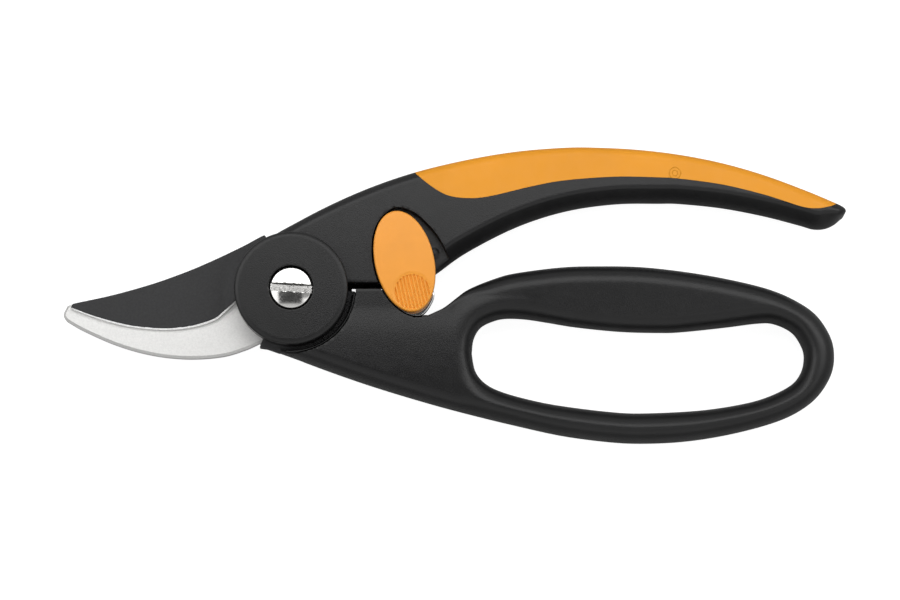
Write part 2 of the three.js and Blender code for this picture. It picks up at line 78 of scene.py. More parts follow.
def centre(node):
    return tuple((low(node, a) + high(node, a)) / 2 for a in range(2))


BACK_Z = low("upper_handle", 2)
FRONT_Z = high("upper_handle", 2)
MID_Z = (BACK_Z + FRONT_Z) / 2
HALF = (FRONT_Z - BACK_Z) / 2
BLADE_Z = (low("cutting_blade", 2), high("cutting_blade", 2))
HOOK_Z = (low("hook_blade", 2), high("hook_blade", 2))
CAP_Z = (low("hub_cap", 2), high("hub_cap", 2))
CAP_R = radius("hub_cap")
HEAD_R = radius("pivot_bolt")
NUT_TOP_Z = high("pivot_nut", 2)
PLATE_Z = (low("lock_plate", 2), high("lock_plate", 2))
BUTTON_Z = (low("lock_button", 2), high("lock_button", 2))
LOCK = centre("lock_pin")
LOOP_Z = (low("lower_handle", 2), high("lower_handle", 2))

# ---- driving dimensions -----------------------------------------------------------------------
HUB_R = 15.3                                # front cheek, under the cap
REAR_HUB_R = 16.2
FORK_R = 17.6                               # slot between the cheeks
FORK_Z = (2.6, 9.0)
WELL_R = (7.2, 12.9)                        # spring well in the front cheek
WELL_FLOOR_Z = 9.8
SEAT = (6.4, 11.0)                          # radius and height of the bolt head's seat
CHEEK_BORE_R = 4.2
NUT_FLATS = 10                              # across flats
NUT_POCKET_FLATS = 10.6
HEAD_BOTTOM_Z = 11.7
HEAD_DOME = 0.9
SHANK_R = 3.9
THREAD_R = 2.9
DRIVE_SLOT = (2.3, 1.9)                     # width and depth
DRIVE_SLOT_LEAN = math.radians(-3.5)

LOOP_ARC_R = 17.45                          # hollow of the lower handle round the hub
HOOK_RELIEF_R = 19.4                        # the same hollow at the level of the hook
SHELF_R = 16.2                              # shelf at the foot of the hollow
SHELF_Z = 9.1
SHELF_END_Y = -1.5
BEAD_R = 16.95                              # fine bead that stands on the shelf, up to its top
BEAD_TOP_Z = 12.7
FLANK_RISE = 3.6                            # how far the finger side is set back at the faces
FACE_SLOPE = 0.14                           # the loop's faces fall towards the opening

BLADE_BORE_R = 5.1
BLADE_DISC_R = 14.4
HOOK_DISC_R = 14.6
JAW_SLOPE = 0.098                           # the cutting jaw thins at this rate towards its edge
JAW_FULL_Y = 11                             # and has its full thickness above this y
GROUND_HIGHLIGHT_WIDTH = 0.42                         # strip ground along the cutting edge, coloured near-white as a painted highlight

RECESS_FLOOR_Z = 9.0
NOTCH_R = 25.3                              # room for the lock's nose, round the lock's pivot
NOTCH_END_X = 33
LOCK_PIN_BORE_R = 2.2
PLATE_BORE_R = 2.0
PLATE_END_R = 4.0
DETENT = (38.5, 10.3)                       # domed bump that holds the button when it is swung out
DETENT_HEIGHT = 0.42
DETENT_DOME_R = 2.83
DETENT_DOME_SINK = 2.4                      # its centre lies this far below the recess's floor
DOWEL_ROOM_R = 2.25


# ---- outlines ---------------------------------------------------------------------------------
def curve(through, per=6):
    """Points along a smooth curve through the given ones."""
    p = np.array(through, float)
    out = []
    for i in range(len(p) - 1):
        a, b, c, d = p[max(i - 1, 0)], p[i], p[i + 1], p[min(i + 2, len(p) - 1)]
        for t in np.arange(per) / per:
            v0, v1 = (c - a) / 2, (d - b) / 2
            out.append((2 * b - 2 * c + v0 + v1) * t ** 3 + (-3 * b + 3 * c - 2 * v0 - v1) * t ** 2
                       + v0 * t + b)
    return [tuple(q) for q in out] + [tuple(p[-1])]


def arc(x, y, r, start, end, count):
    """Points on a circle between two angles in degrees."""
    turn = np.radians(np.linspace(start, end, count))
    return [(x + r * math.cos(t), y + r * math.sin(t)) for t in turn]


def oval(x, y, half_width, half_height, lean, count=96, start=0, end=360):
    """Points on an ellipse whose long axis leans by an angle in degrees."""
    turn = np.radians(np.linspace(start, end, count, endpoint=False))
    c, s = math.cos(math.radians(lean)), math.sin(math.radians(lean))
    u, v = half_width * np.cos(turn), half_height * np.sin(turn)
    return list(zip(x + c * u - s * v, y + s * u + c * v))


UPPER_TOP = curve([
    (-4.2, 15.5), (-1.7, 16.95), (9.4, 22.9), (21, 28.1), (33.4, 32.4), (47.3, 35.8), (60.8, 38.1),
    (74.2, 39.2), (83.2, 39.2), (94.2, 38.6), (105.6, 37.2), (117, 34.9), (128.3, 31.6),
    (139.7, 27.3), (147.4, 24.0),
])
UPPER_TIP = curve([(147.4, 24.0), (149.6, 22.9), (150.4, 21.7), (149.4, 20.2)])
UPPER_FINGER = curve([
    (149.4, 20.2), (147.3, 18.4), (144.7, 17.3), (141.6, 17.2), (137.8, 18.3), (128.3, 20.8),
    (117, 23.0), (105.6, 24.2), (99.6, 24.3), (87.6, 24.1), (74.2, 22.1), (60.8, 17.7),
    (47.3, 10.7), (39.2, 4.9), (35.2, 2.4), (31, 1.7), (12, 1.7),
])
GRIP_LINE = curve([
    (33.4, 33.5), (33.7, 31.6), (38.4, 27.7), (42.9, 25.4), (48.7, 24.8), (54.5, 25.5), (65.3, 28.1),
    (74.2, 29.7), (87.6, 30.7), (99.6, 30.5), (105.6, 30.1), (117, 28.5), (128.3, 25.7),
    (137.8, 22.6), (142, 22.0), (145, 22.4), (147.3, 23.2), (149.5, 25),
])
LOCK_RECESS = curve([
    (23.9, 1.6), (22.0, 8.0), (21.9, 11.4), (23.2, 17.2), (25.8, 21.0), (29, 22.3), (33.7, 20.6),
    (38.1, 16.4), (40.8, 12.5), (42.5, 9.0), (45.5, 2.0),
])
LOOP_OUTSIDE = curve([
    (36.9, -7.2), (38.9, -6.3), (41.6, -4.9), (45.5, -1.5), (49.4, 1.0), (55.4, 3.6), (61.3, 5.1),
    (73.2, 6.6), (83.1, 6.9), (94.2, 6.7), (105.6, 5.5), (117, 3.6), (128.3, 0.9), (135.9, -2.2),
    (142.0, -6.4), (145.9, -12.4), (146.9, -17.9), (145.8, -23.3), (142.0, -29.0), (136.1, -33.3),
    (128.3, -36.4), (117, -39.2), (105.6, -40.9), (94.2, -41.4), (85.1, -40.9), (73.2, -39.3),
    (61.3, -36.7), (49.4, -33.8), (37.5, -30.6), (23.3, -26.3), (11.9, -22.4), (0.6, -18.2),
    (-3.4, -16.8),
])
LOOP_INSIDE = curve([
    (48.8, -17.1), (49.3, -13.0), (51.2, -9.7), (54.6, -8.0), (58.1, -7.3), (63.3, -7.5),
    (69.2, -8.4), (77.1, -9.7), (89, -10.9), (99.6, -11.2), (105.6, -11.0), (117, -9.8),
    (126.4, -8.6), (130.8, -8.8), (135.5, -11.1), (138.1, -15.0), (138.7, -18.4), (137.7, -22.4),
    (134.8, -25.8), (128.3, -29.0), (120.7, -31.0), (109.4, -32.6), (94.2, -33.3), (85.1, -32.8),
    (73.2, -31.3), (65.3, -29.8), (57.3, -27.6), (52.6, -25.3), (49.8, -21.9), (48.8, -17.1),
])[:-1]
LOWER_FRONT = [(-3.4, -12), (8, 0.06), (24.2, 0.06), (24.8, 0.6), (28.5, 0.6), (33, -4), (35.6, -7.0)]
NOTCH = curve([
    (24.1, 1.0), (24.3, -0.3), (25.4, -1.9), (26.5, -3.4), (27.8, -4.8), (29.4, -6.1), (31.3, -7.2),
    (33.5, -7.8), (35.6, -7.7),
])
OVAL = (30.6, 7.4)
OVAL_HALF = (8.0, 14.0)
OVAL_LEAN = 12.8
THUMB = (32.7, -1.0)
THUMB_R = 5.15
RIB_PITCH = 0.97
RIB_SINK = 0.44                             # mean level of the ribs below the button's face
RIB_WAVE = 0.21                             # how far they rise and fall about it
GATE_MARK = (103.9, 31.7)


# ---- signed distances, negative inside --------------------------------------------------------
class Region:
    """Distance to a closed outline in the XY plane, looked up on a grid."""

    def __init__(self, outline, step=0.3, margin=5.0, window=None):
        p = np.array(outline, np.float32)
        self.low = np.array(window[0] if window else p.min(0) - margin, np.float32)
        top = np.array(window[1] if window else p.max(0) + margin, np.float32)
        count = np.ceil((top - self.low) / step).astype(int) + 1
        self.step = step
        x = (self.low[0] + step * np.arange(count[0], dtype=np.float32))[:, None]
        y = (self.low[1] + step * np.arange(count[1], dtype=np.float32))[None, :]
        best = np.full((count[0], count[1]), 1e9, np.float32)
        inside = np.zeros(best.shape, bool)
        for (ax, ay), (bx, by) in zip(p, np.roll(p, -1, 0)):
            ex, ey = bx - ax, by - ay
            if ex == 0 and ey == 0:
                continue
            t = np.clip(((x - ax) * ex + (y - ay) * ey) / (ex * ex + ey * ey), 0, 1)
            np.minimum(best, (x - ax - t * ex) ** 2 + (y - ay - t * ey) ** 2, out=best)
            if ay != by:
                inside ^= ((ay > y) != (by > y)) & (x < ax + ex * (y - ay) / ey)
        self.table = np.where(inside, -1, 1) * np.sqrt(best)

    def __call__(self, x, y):
        x, y = np.broadcast_arrays(x, y)
        u = np.clip((x - self.low[0]) / self.step, 0, self.table.shape[0] - 1.001)
        v = np.clip((y - self.low[1]) / self.step, 0, self.table.shape[1] - 1.001)
        i, j = u.astype(int), v.astype(int)
        f, g = u - i, v - j
        t = self.table
        return ((t[i, j] * (1 - g) + t[i, j + 1] * g) * (1 - f)
                + (t[i + 1, j] * (1 - g) + t[i + 1, j + 1] * g) * f)


def both(a, b, r=0.0):
    """Where a and b are both inside, with the edge between them rounded by r."""
    if r == 0:
        return np.maximum(a, b)
    return np.minimum(-r, np.maximum(a, b)) + np.hypot(np.maximum(a + r, 0), np.maximum(b + r, 0))


def either(a, b, r=0.0):
    """Where a or b is inside, with the corner between them filled by r."""
    return -both(-a, -b, r)


def without(a, b, r=0.0):
    return both(a, -b, r)


def ramp(edge0, edge1, value):
    t = np.clip((value - edge0) / (edge1 - edge0), 0, 1)
    return t * t * (3 - 2 * t)


def disc(x, y, r, at=(0.0, 0.0)):
    return np.hypot(x - at[0], y - at[1]) - r


def slab(z, bottom, top):
    return np.maximum(bottom - z, z - top)


def hexagon(x, y, across_flats):
    turned = [abs(x * math.cos(a) + y * math.sin(a)) for a in np.radians([30, 90, 150])]
    return np.maximum(np.maximum(turned[0], turned[1]), turned[2]) - across_flats / 2


# ---- meshes -----------------------------------------------------------------------------------
def finish_mesh(name, verts, faces, crease=34.0):
    mesh = bpy.data.meshes.new(name)
    mesh.from_pydata([tuple(v) for v in np.asarray(verts) * MM], [], [tuple(f) for f in faces])
    mesh.validate()
    mesh.shade_smooth()
    mesh.set_sharp_from_angle(angle=math.radians(crease))
    piece = bpy.data.objects.new(name, mesh)
    bpy.context.scene.collection.objects.link(piece)
    return piece


def contoured(name, field, low_corner, high_corner, step, crease=34.0):
    """Mesh of the surface where field is zero, with its sharp edges kept."""
    axes = [np.arange(a - 1.5 * step, b + 2.5 * step, step) for a, b in zip(low_corner, high_corner)]
    x, y, z = axes
    values = np.broadcast_to(field(x[:, None, None], y[None, :, None], z[None, None, :]),
                             (len(x), len(y), len(z)))
    inside = values < 0
    cells = [len(a) - 1 for a in axes]
    origin = np.array([a[0] for a in axes])
    owners, crossings, normals, quads = [], [], [], []
    for axis in range(3):
        first = [slice(None)] * 3
        second = [slice(None)] * 3
        first[axis], second[axis] = slice(0, -1), slice(1, None)
        a, b = inside[tuple(first)], inside[tuple(second)]
        at = np.argwhere(a != b)
        others = [k for k in range(3) if k != axis]
        va = values[tuple(first)][tuple(at.T)]
        vb = values[tuple(second)][tuple(at.T)]
        base = origin + at * step
        lo, hi, flo, fhi = np.zeros(len(at)), np.ones(len(at)), va.copy(), vb.copy()
        for _ in range(4):
            t = np.clip(lo - flo * (hi - lo) / (fhi - flo), lo + 0.02 * (hi - lo), hi - 0.02 * (hi - lo))
            p = base.copy()
            p[:, axis] += t * step
            f = field(p[:, 0], p[:, 1], p[:, 2])
            same = (f < 0) == (flo < 0)
            lo, flo = np.where(same, t, lo), np.where(same, f, flo)
            hi, fhi = np.where(same, hi, t), np.where(same, fhi, f)
        eps = 0.02
        grad = np.empty_like(p)
        for k in range(3):
            q = p.copy()
            q[:, k] += eps
            ahead = field(q[:, 0], q[:, 1], q[:, 2])
            q[:, k] -= 2 * eps
            grad[:, k] = ahead - field(q[:, 0], q[:, 1], q[:, 2])
        grad /= np.maximum(np.linalg.norm(grad, axis=1, keepdims=True), 1e-9)
        ring = []
        for du, dv in ((0, 0), (-1, 0), (-1, -1), (0, -1)):
            cell = at.copy()
            cell[:, others[0]] += du
            cell[:, others[1]] += dv
            ring.append((cell[:, 0] * cells[1] + cell[:, 1]) * cells[2] + cell[:, 2])
        ring = np.stack(ring, 1)
        flip = a[tuple(at.T)] == (axis != 1)
        quads.append(np.where(flip[:, None], ring[:, ::-1], ring))
        owners.append(ring.ravel())
        crossings.append(np.repeat(p, 4, 0))
        normals.append(np.repeat(grad, 4, 0))
    owners, crossings, normals = map(np.concatenate, (owners, crossings, normals))
    keys, index = np.unique(owners, return_inverse=True)
    count = np.bincount(index)
    mean = np.stack([np.bincount(index, crossings[:, k]) for k in range(3)], 1) / count[:, None]
    offset = (normals * (crossings - mean[index])).sum(1)
    matrix = np.empty((len(keys), 3, 3))
    target = np.empty((len(keys), 3))
    for k in range(3):
        target[:, k] = np.bincount(index, normals[:, k] * offset)
        for m in range(3):
            matrix[:, k, m] = np.bincount(index, normals[:, k] * normals[:, m])
    matrix += 0.04 * np.eye(3)
    place = mean + np.linalg.solve(matrix, target[:, :, None])[:, :, 0]
    cell = np.stack([keys // (cells[1] * cells[2]), keys // cells[2] % cells[1], keys % cells[2]], 1)
    floor = origin + cell * step
    place = np.clip(place, floor, floor + step)
    faces = np.searchsorted(keys, np.concatenate(quads))
    return finish_mesh(name, place, faces, crease)


def supported(profile, margin=0.06):
    """The profile with extra points near the ends of its long straight runs, for even shading."""
    out = []
    closed = profile[0][0] > 1e-6
    for a, b in zip(profile, profile[1:] + (profile[:1] if closed else [])):
        out.append(a)
        length = math.hypot(b[0] - a[0], b[1] - a[1])
        if length > 6 * margin:
            for t in (margin / length, 1 - margin / length):
                out.append((a[0] + (b[0] - a[0]) * t, a[1] + (b[1] - a[1]) * t))
    return out if closed else [*out, profile[-1]]


def lathed(name, profile, at=(0.0, 0.0), segments=128, crease=34.0):
    """Turned piece from a closed profile of (radius, z) pairs; a radius of 0 closes on the axis."""
    rings, verts, faces = [], [], []
    profile = supported(profile)
    for r, z in profile:
        if r < 1e-6:
            rings.append([len(verts)] * segments)
            verts.append((at[0], at[1], z))
        else:
            turn = np.linspace(0, 2 * math.pi, segments, endpoint=False)
            rings.append(list(range(len(verts), len(verts) + segments)))
            verts += [(at[0] + r * math.cos(t), at[1] + r * math.sin(t), z) for t in turn]
    closed = profile[0][0] > 1e-6
    pairs = list(zip(rings, rings[1:])) + ([(rings[-1], rings[0])] if closed else [])
    for a, b in pairs:
        for i in range(segments):
            j = (i + 1) % segments
            corners = [a[i], a[j], b[j], b[i]]
            face = [v for n, v in enumerate(corners) if v not in corners[:n]]
            if len(face) > 2:
                faces.append(face)
    return finish_mesh(name, verts, faces, crease)


def swept(name, profile, start, end, segments, crease=34.0):
    """Closed (radius, z) profile carried round the pivot from one angle to another, in degrees."""
    verts, faces = [], []
    n = len(profile)
    for turn in np.radians(np.linspace(start, end, segments + 1)):
        verts += [(r * math.cos(turn), r * math.sin(turn), z) for r, z in profile]
    for a in range(0, segments * n, n):
        faces += [(a + i, a + (i + 1) % n, a + n + (i + 1) % n, a + n + i) for i in range(n)]
    faces += [tuple(reversed(range(n))), tuple(range(segments * n, (segments + 1) * n))]
    return finish_mesh(name, verts, faces, crease)


def plate(name, outline, z, edge_top, edge_bottom=0.12, holes=(), steps=3, crease=40.0):
    """Flat piece with rounded edges. edge_top gives the rounding at each point of the outline."""
    size = edge_top if callable(edge_top) else (lambda px, py: edge_top)
    verts, faces, top_loops, bottom_loops = [], [], [], []
    for number, line in enumerate([outline, *holes]):
        p = np.array(line, float)
        if len(p) > 1 and np.allclose(p[0], p[-1]):
            p = p[:-1]
        area = (p[:, 0] * np.roll(p[:, 1], -1) - p[:, 1] * np.roll(p[:, 0], -1)).sum()
        if (area < 0) == (number == 0):
            p = p[::-1]
        along = np.roll(p, -1, 0) - np.roll(p, 1, 0)
        inward = np.stack([-along[:, 1], along[:, 0]], 1)
        inward /= np.linalg.norm(inward, axis=1, keepdims=True)
        top = np.array([size(*q) for q in p]) if number == 0 else np.full(len(p), edge_bottom)
        loops = []
        turns = np.linspace(0, math.pi / 2, steps + 1)
        for t in turns[::-1]:
            q = p + inward * edge_bottom * (1 - math.cos(t))
            loops.append(np.column_stack([q, np.full(len(p), z[0] + edge_bottom * (1 - math.sin(t)))]))
        for t in turns:
            q = p + inward * (top * (1 - math.cos(t)))[:, None]
            loops.append(np.column_stack([q, z[1] - top * (1 - math.sin(t))]))
        for at_start in (True, False):
            inset = (edge_bottom if at_start else top[:, None]) + 0.06
            q = p + inward * inset
            loop = np.column_stack([q, np.full(len(p), z[0] if at_start else z[1])])
            loops.insert(0 if at_start else len(loops), loop)
        start = len(verts)
        for loop in loops:
            verts += [tuple(v) for v in loop]
        n = len(p)
        for a in range(len(loops) - 1):
            for i in range(n):
                j = (i + 1) % n
                faces.append((start + a * n + i, start + a * n + j,
                              start + (a + 1) * n + j, start + (a + 1) * n + i))
        bottom_loops.append(list(range(start, start + n)))
        top_loops.append(list(range(start + (len(loops) - 1) * n, start + len(loops) * n)))
    for loops, upward in ((top_loops, True), (bottom_loops, False)):
        flat = [v for loop in loops for v in loop]
        for tri in tessellate_polygon([[Vector((*verts[v][:2], 0)) for v in loop] for loop in loops]):
            a, b, c = (np.array(verts[flat[k]][:2]) for k in tri)
            turn = (b[0] - a[0]) * (c[1] - a[1]) - (b[1] - a[1]) * (c[0] - a[0])
            if abs(turn) < 1e-9:
                continue
            order = tri if (turn > 0) == upward else tri[::-1]
            faces.append(tuple(flat[k] for k in order))
    return finish_mesh(name, verts, faces, crease)


# ---- materials --------------------------------------------------------------------------------
def map_range(tree, value, from_low, from_high, to_low, to_high):
    made = tree.nodes.new("ShaderNodeMapRange")
    for key, number in zip(("From Min", "From Max", "To Min", "To Max"),
                           (from_low, from_high, to_low, to_high)):
        made.inputs[key].default_value = number
    tree.links.new(value, made.inputs["Value"])
    return made.outputs["Result"]


class Finish:
    """A Principled material with helpers for its texture nodes, in object space."""

    def __init__(self, name, colour, roughness, metallic=0.0):
        self.material = bpy.data.materials.new(name)
        self.material.use_nodes = True
        self.tree = self.material.node_tree
        self.shader = self.tree.nodes["Principled BSDF"]
        self.shader.inputs["Base Color"].default_value = (*colour, 1)
        self.shader.inputs["Roughness"].default_value = roughness
        self.shader.inputs["Metallic"].default_value = metallic
        self.place = self.tree.nodes.new("ShaderNodeTexCoord").outputs["Object"]
        self.height = None

    def node(self, kind, **values):
        made = self.tree.nodes.new(kind)
        for key, value in values.items():
            if key in made.inputs:
                made.inputs[key].default_value = value
            else:
                setattr(made, key, value)
        return made

    def stretched(self, factors):
        mapping = self.node("ShaderNodeMapping")
        mapping.inputs["Scale"].default_value = factors
        self.tree.links.new(self.place, mapping.inputs["Vector"])
        return mapping.outputs["Vector"]

    def noise(self, grain, detail=2.0, place=None):
        """Noise whose features are about grain millimetres across."""
        made = self.node("ShaderNodeTexNoise", Scale=1 / (grain * MM), Detail=detail)
        self.tree.links.new(place or self.place, made.inputs["Vector"])
        return made.outputs["Fac"]

    def between(self, value, from_low, from_high, to_low, to_high):
        return map_range(self.tree, value, from_low, from_high, to_low, to_high)

    def vary_roughness(self, value, low_value, high_value):
        self.tree.links.new(self.between(value, 0.3, 0.7, low_value, high_value),
                            self.shader.inputs["Roughness"])

    def vary_colour(self, value, dark, light):
        mix = self.node("ShaderNodeMix", data_type="RGBA")
        colours = [s for s in mix.inputs if s.type == "RGBA"]
        colours[0].default_value = (*dark, 1)
        colours[1].default_value = (*light, 1)
        self.tree.links.new(self.between(value, 0.3, 0.7, 0, 1), mix.inputs["Factor"])
        result = [s for s in mix.outputs if s.type == "RGBA"][0]
        self.tree.links.new(result, self.shader.inputs["Base Color"])

    def bump(self, value, depth, strength=1.0):
        made = self.node("ShaderNodeBump", Strength=strength, Distance=depth * MM)
        self.tree.links.new(value, made.inputs["Height"])
        if self.height is not None:
            self.tree.links.new(self.height, made.inputs["Normal"])
        self.height = made.outputs["Normal"]
        self.tree.links.new(self.height, self.shader.inputs["Normal"])


def tint(colour, factor):
    return tuple(min(1.0, c * factor) for c in colour)


def nylon():
    base = (0.0085, 0.0085, 0.0088)
    made = Finish("black_nylon", base, 0.34)
    made.shader.inputs["Specular IOR Level"].default_value = 0.35
    made.vary_colour(made.noise(9.0), tint(base, 0.9), tint(base, 1.12))
    made.vary_roughness(made.noise(2.5, 3), 0.31, 0.37)
    made.bump(made.noise(0.34, 2), 0.042)
    return made.material


def cap_nylon():
    base = (0.009, 0.009, 0.0092)
    made = Finish("cap_nylon", base, 0.36)
    made.shader.inputs["Specular IOR Level"].default_value = 0.35
    made.vary_colour(made.noise(6.0), tint(base, 0.92), tint(base, 1.1))
    made.vary_roughness(made.noise(1.5, 3), 0.33, 0.4)
    made.bump(made.noise(0.34, 2), 0.05)
    return made.material


def soft_grip():
    base = (0.7, 0.27, 0.002)
    made = Finish("orange_soft_grip", base, 0.55)
    made.vary_colour(made.noise(14.0, 3), tint(base, 0.96), tint(base, 1.03))
    made.vary_roughness(made.noise(3.0, 3), 0.5, 0.62)
    made.bump(made.noise(0.3, 2), 0.015)
    away = made.node("ShaderNodeVectorMath", operation="DISTANCE")
    flat = made.node("ShaderNodeVectorMath", operation="MULTIPLY")
    flat.inputs[1].default_value = (1, 1, 0)
    made.tree.links.new(made.place, flat.inputs[0])
    made.tree.links.new(flat.outputs[0], away.inputs[0])
    away.inputs[1].default_value = (GATE_MARK[0] * MM, GATE_MARK[1] * MM, 0)
    for size, width in ((1.55, 0.16), (0.75, 0.14)):
        ring = made.node("ShaderNodeMath", operation="SUBTRACT")
        ring.inputs[1].default_value = size * MM
        made.tree.links.new(away.outputs["Value"], ring.inputs[0])
        off = made.node("ShaderNodeMath", operation="ABSOLUTE")
        made.tree.links.new(ring.outputs[0], off.inputs[0])
        made.bump(made.between(off.outputs[0], 0.0, width * MM, 1, 0), 0.15)
    return made.material


def button_plastic():
    base = (0.78, 0.302, 0.028)
    made = Finish("orange_button", base, 0.42)
    made.vary_colour(made.noise(7.0, 3), tint(base, 0.97), tint(base, 1.03))
    made.vary_roughness(made.noise(1.2, 3), 0.38, 0.48)
    made.bump(made.noise(0.25, 3), 0.018)
    return made.material


def blade_coating():
    base = (0.029, 0.029, 0.030)
    made = Finish("blade_coating", base, 0.62)
    made.shader.inputs["Specular IOR Level"].default_value = 0.3
    made.vary_colour(made.noise(0.5, 4), tint(base, 0.9), tint(base, 1.1))
    made.vary_roughness(made.noise(0.8, 4), 0.56, 0.68)
    made.bump(made.noise(0.25, 4), 0.03)
    return made.material


def ground_edge_painted_highlight():
    # Bare steel where the bevel is ground, partly real; its near-white colour makes the strip read as a
    # bright line, a painted highlight.
    made = Finish("ground_edge_painted_highlight", (0.93, 0.93, 0.92), 0.4, 0.3)
    streaks = made.noise(0.25, 3, made.stretched((0.15, 1, 1)))
    made.vary_roughness(streaks, 0.2, 0.36)
    made.bump(streaks, 0.01)
    return made.material


def hook_steel():
    base = (0.745, 0.742, 0.73)
    made = Finish("hook_steel", base, 0.6, 1.0)
    made.vary_colour(made.noise(0.5, 5), tint(base, 0.95), tint(base, 1.04))
    made.vary_roughness(made.noise(0.35, 4), 0.54, 0.66)
    made.bump(made.noise(0.3, 4), 0.03)
    return made.material


def polished_steel():
    roughness = 0.14
    made = Finish("polished_steel", (0.83, 0.82, 0.80), roughness, 1.0)
    turning = made.node("ShaderNodeTexWave", wave_type="RINGS", rings_direction="Z",
                        Scale=1 / (0.4 * MM) / 20, Distortion=0.4, Detail=2.0)
    made.tree.links.new(made.place, turning.inputs["Vector"])
    made.vary_roughness(made.noise(0.5, 3), roughness * 0.8, roughness * 1.4)
    made.bump(turning.outputs["Fac"], 0.002)
    return made.material


def sheet_steel():
    base = (0.8, 0.8, 0.8)
    made = Finish("sheet_steel", base, 0.08, 1.0)
    streaks = made.noise(0.3, 3, made.stretched((1, 0.1, 1)))
    made.vary_colour(streaks, tint(base, 0.96), tint(base, 1.02))
    made.vary_roughness(streaks, 0.06, 0.1)
    made.bump(streaks, 0.0003)
    return made.material


def plated_steel():
    base = (0.58, 0.59, 0.6)
    made = Finish("zinc_plate", base, 0.34, 1.0)
    made.vary_colour(made.noise(1.0, 4), tint(base, 0.9), tint(base, 1.08))
    made.vary_roughness(made.noise(0.4, 3), 0.28, 0.44)
    made.bump(made.noise(0.3, 3), 0.01)
    return made.material


def spring_wire():
    base = (0.3, 0.3, 0.31)
    made = Finish("spring_wire", base, 0.3, 1.0)
    made.vary_colour(made.noise(0.8, 3), tint(base, 0.85), tint(base, 1.1))
    made.vary_roughness(made.noise(0.3, 3), 0.25, 0.4)
    made.bump(made.noise(0.2, 3), 0.008)
    return made.material


def bearing_bronze():
    base = (0.5, 0.34, 0.15)
    made = Finish("bearing_bronze", base, 0.4, 1.0)
    made.vary_colour(made.noise(0.5, 4), tint(base, 0.85), tint(base, 1.1))
    made.vary_roughness(made.noise(0.3, 3), 0.35, 0.5)
    made.bump(made.noise(0.2, 3), 0.01)
    return made.material


def settle(piece, body, material, slot, *nodes):
    """Gives a new piece its material and body, and hides the CAD nodes it stands for; the slot argument is
    not used.
    """
    piece.data.materials.append(material)
    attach(piece, body)
    if nodes:
        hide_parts(*nodes)
    return piece


# ---- upper handle and grip --------------------------------------------------------------------
ARM = Region([*UPPER_TOP, *UPPER_TIP[1:], *UPPER_FINGER[1:], (0, 0)])
WINDOW = ((-22, -22), (156, 46))
BELOW_TOP = Region([*UPPER_TOP, *UPPER_TIP[1:], (152, -60), (-60, -60), (-60, -20)], window=WINDOW)
ABOVE_FINGER = Region([(180, 80), (180, 20), *UPPER_FINGER, (-80, 1.7), (-80, 80)], window=WINDOW)
GRIP = Region([*GRIP_LINE, (149.5, 70), (33.4, 70)], window=((28, 14), (156, 46)))
RECESS = Region(LOCK_RECESS)
OVAL_ROOM = Region(oval(*OVAL, OVAL_HALF[0] + 0.5, OVAL_HALF[1] + 0.5, OVAL_LEAN))


def arm_field(x, y, z):
    off = abs(z - MID_Z)
    edge = BELOW_TOP(x, y)
    crown, rise = 2.7, 3.2
    u = np.maximum(crown + edge, 0) / crown
    v = np.maximum(off - (HALF - rise), 0) / rise
    top = (np.hypot(u, v) - 1) * crown
    slant = FLANK_RISE * ramp(33, 42, x) * (1 - ramp(144, 151, x))
    flank = (ABOVE_FINGER(x, y) + slant * (off / HALF) ** 1.5) / 1.3
    return both(top, flank, 0.4)


def upper_handle_field(x, y, z):
    r = np.hypot(x, y)
    arm = without(arm_field(x, y, z), GRIP(x, y) - 0.02)
    arm = both(arm, ARM(x, y) - 0.01 + 0 * z)
    body = without(arm, both(r - FORK_R, slab(z, *FORK_Z)), 0.3)
    front = both(both(r - HUB_R, z - FRONT_Z, 0.2), FORK_Z[1] - z)
    rear = both(both(r - REAR_HUB_R, BACK_Z - z, 0.5), z - FORK_Z[0], 0.3)
    body = either(either(body, front), rear)
    well = both(both(WELL_R[0] - r, r - WELL_R[1]), WELL_FLOOR_Z - z)
    seat = both(r - SEAT[0], SEAT[1] - z)
    bore = r - CHEEK_BORE_R
    nut = both(hexagon(x, y, NUT_POCKET_FLATS), z - FORK_Z[0] - 1)
    for hollow in (well, seat, bore):
        body = without(body, hollow)
    body = without(body, nut, 0.25)
    recess = both(either(RECESS(x, y), OVAL_ROOM(x, y)), RECESS_FLOOR_Z - z, 0.25)
    body = without(body, recess, 0.25)
    above = z - RECESS_FLOOR_Z
    dome = np.sqrt((x - DETENT[0]) ** 2 + (y - DETENT[1]) ** 2 + (above + DETENT_DOME_SINK) ** 2)
    body = either(body, both(dome - DETENT_DOME_R, above - DETENT_HEIGHT, 0.1), 0.1)
    body = without(body, both(disc(x, y, LOCK_PIN_BORE_R, LOCK), low("lock_pin", 2) - 0.2 - z))
    for node in ("hook_dowel_1", "hook_dowel_2"):
        room = both(disc(x, y, DOWEL_ROOM_R, centre(node)), z - high(node, 2) - 0.3)
        body = without(body, room, 0.25)
    return body


def grip_field(x, y, z):
    return both(arm_field(x, y, z), GRIP(x, y) + 0.02, 0.08)


def upper_handle():
    piece = contoured("upper_handle_moulding", upper_handle_field, (-17, -17, BACK_Z),
                      (150, 39, FRONT_Z), FINE)
    settle(piece, "upper_lever", nylon_material, "black_nylon", "upper_handle")
    piece = contoured("soft_grip_inlay", grip_field, (33, 21, BACK_Z), (150, 39, FRONT_Z), FINE)
    settle(piece, "upper_lever", soft_grip(), "orange_grip", "upper_grip")


# ---- lower handle -----------------------------------------------------------------------------
LOWER = Region([*LOWER_FRONT, *LOOP_OUTSIDE])
HOLE = Region(LOOP_INSIDE)
NOTCH_ROOM = Region([*NOTCH, (35.6, 4), (24.1, 4)])


